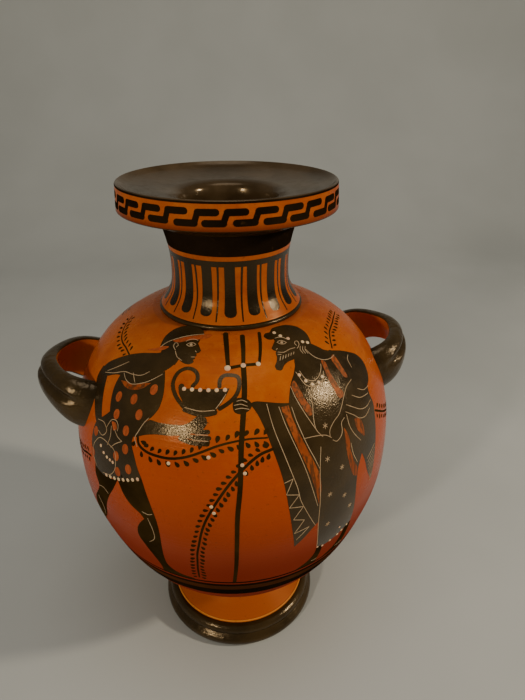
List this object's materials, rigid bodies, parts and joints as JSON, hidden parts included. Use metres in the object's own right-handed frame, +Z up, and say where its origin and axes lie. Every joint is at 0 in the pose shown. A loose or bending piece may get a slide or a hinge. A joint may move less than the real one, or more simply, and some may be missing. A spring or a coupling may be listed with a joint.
{
  "type": "amphora",
  "caption": "Ovoid painted clay storage jar with a dished disc mouth, flaring neck, two grooved loop handles on the shoulder and a moulded ring foot.",
  "frame": {"origin": "centre of the base's underside, where the jar stands", "axes": "+Z up along the turning axis, the two handles on +X and -X, the painted front facing -Y"},
  "size_m": [0.2938, 0.2512, 0.4015],
  "materials": {
    "fired_clay": "waxed orange fired clay, satin",
    "black_slip": "burnished black slip, semi-gloss",
    "red_slip": "added dark red slip, satin",
    "cream_slip": "added cream slip, matt"
  },
  "bodies": {
    "root": {"mouth": "fired_clay", "neck": "fired_clay", "neck_ring": "black_slip", "belly_upper": "fired_clay", "belly_lower": "fired_clay", "stem": "fired_clay", "base": "black_slip", "handle_left": "black_slip", "handle_right": "black_slip"}
  },
  "joints": []
}
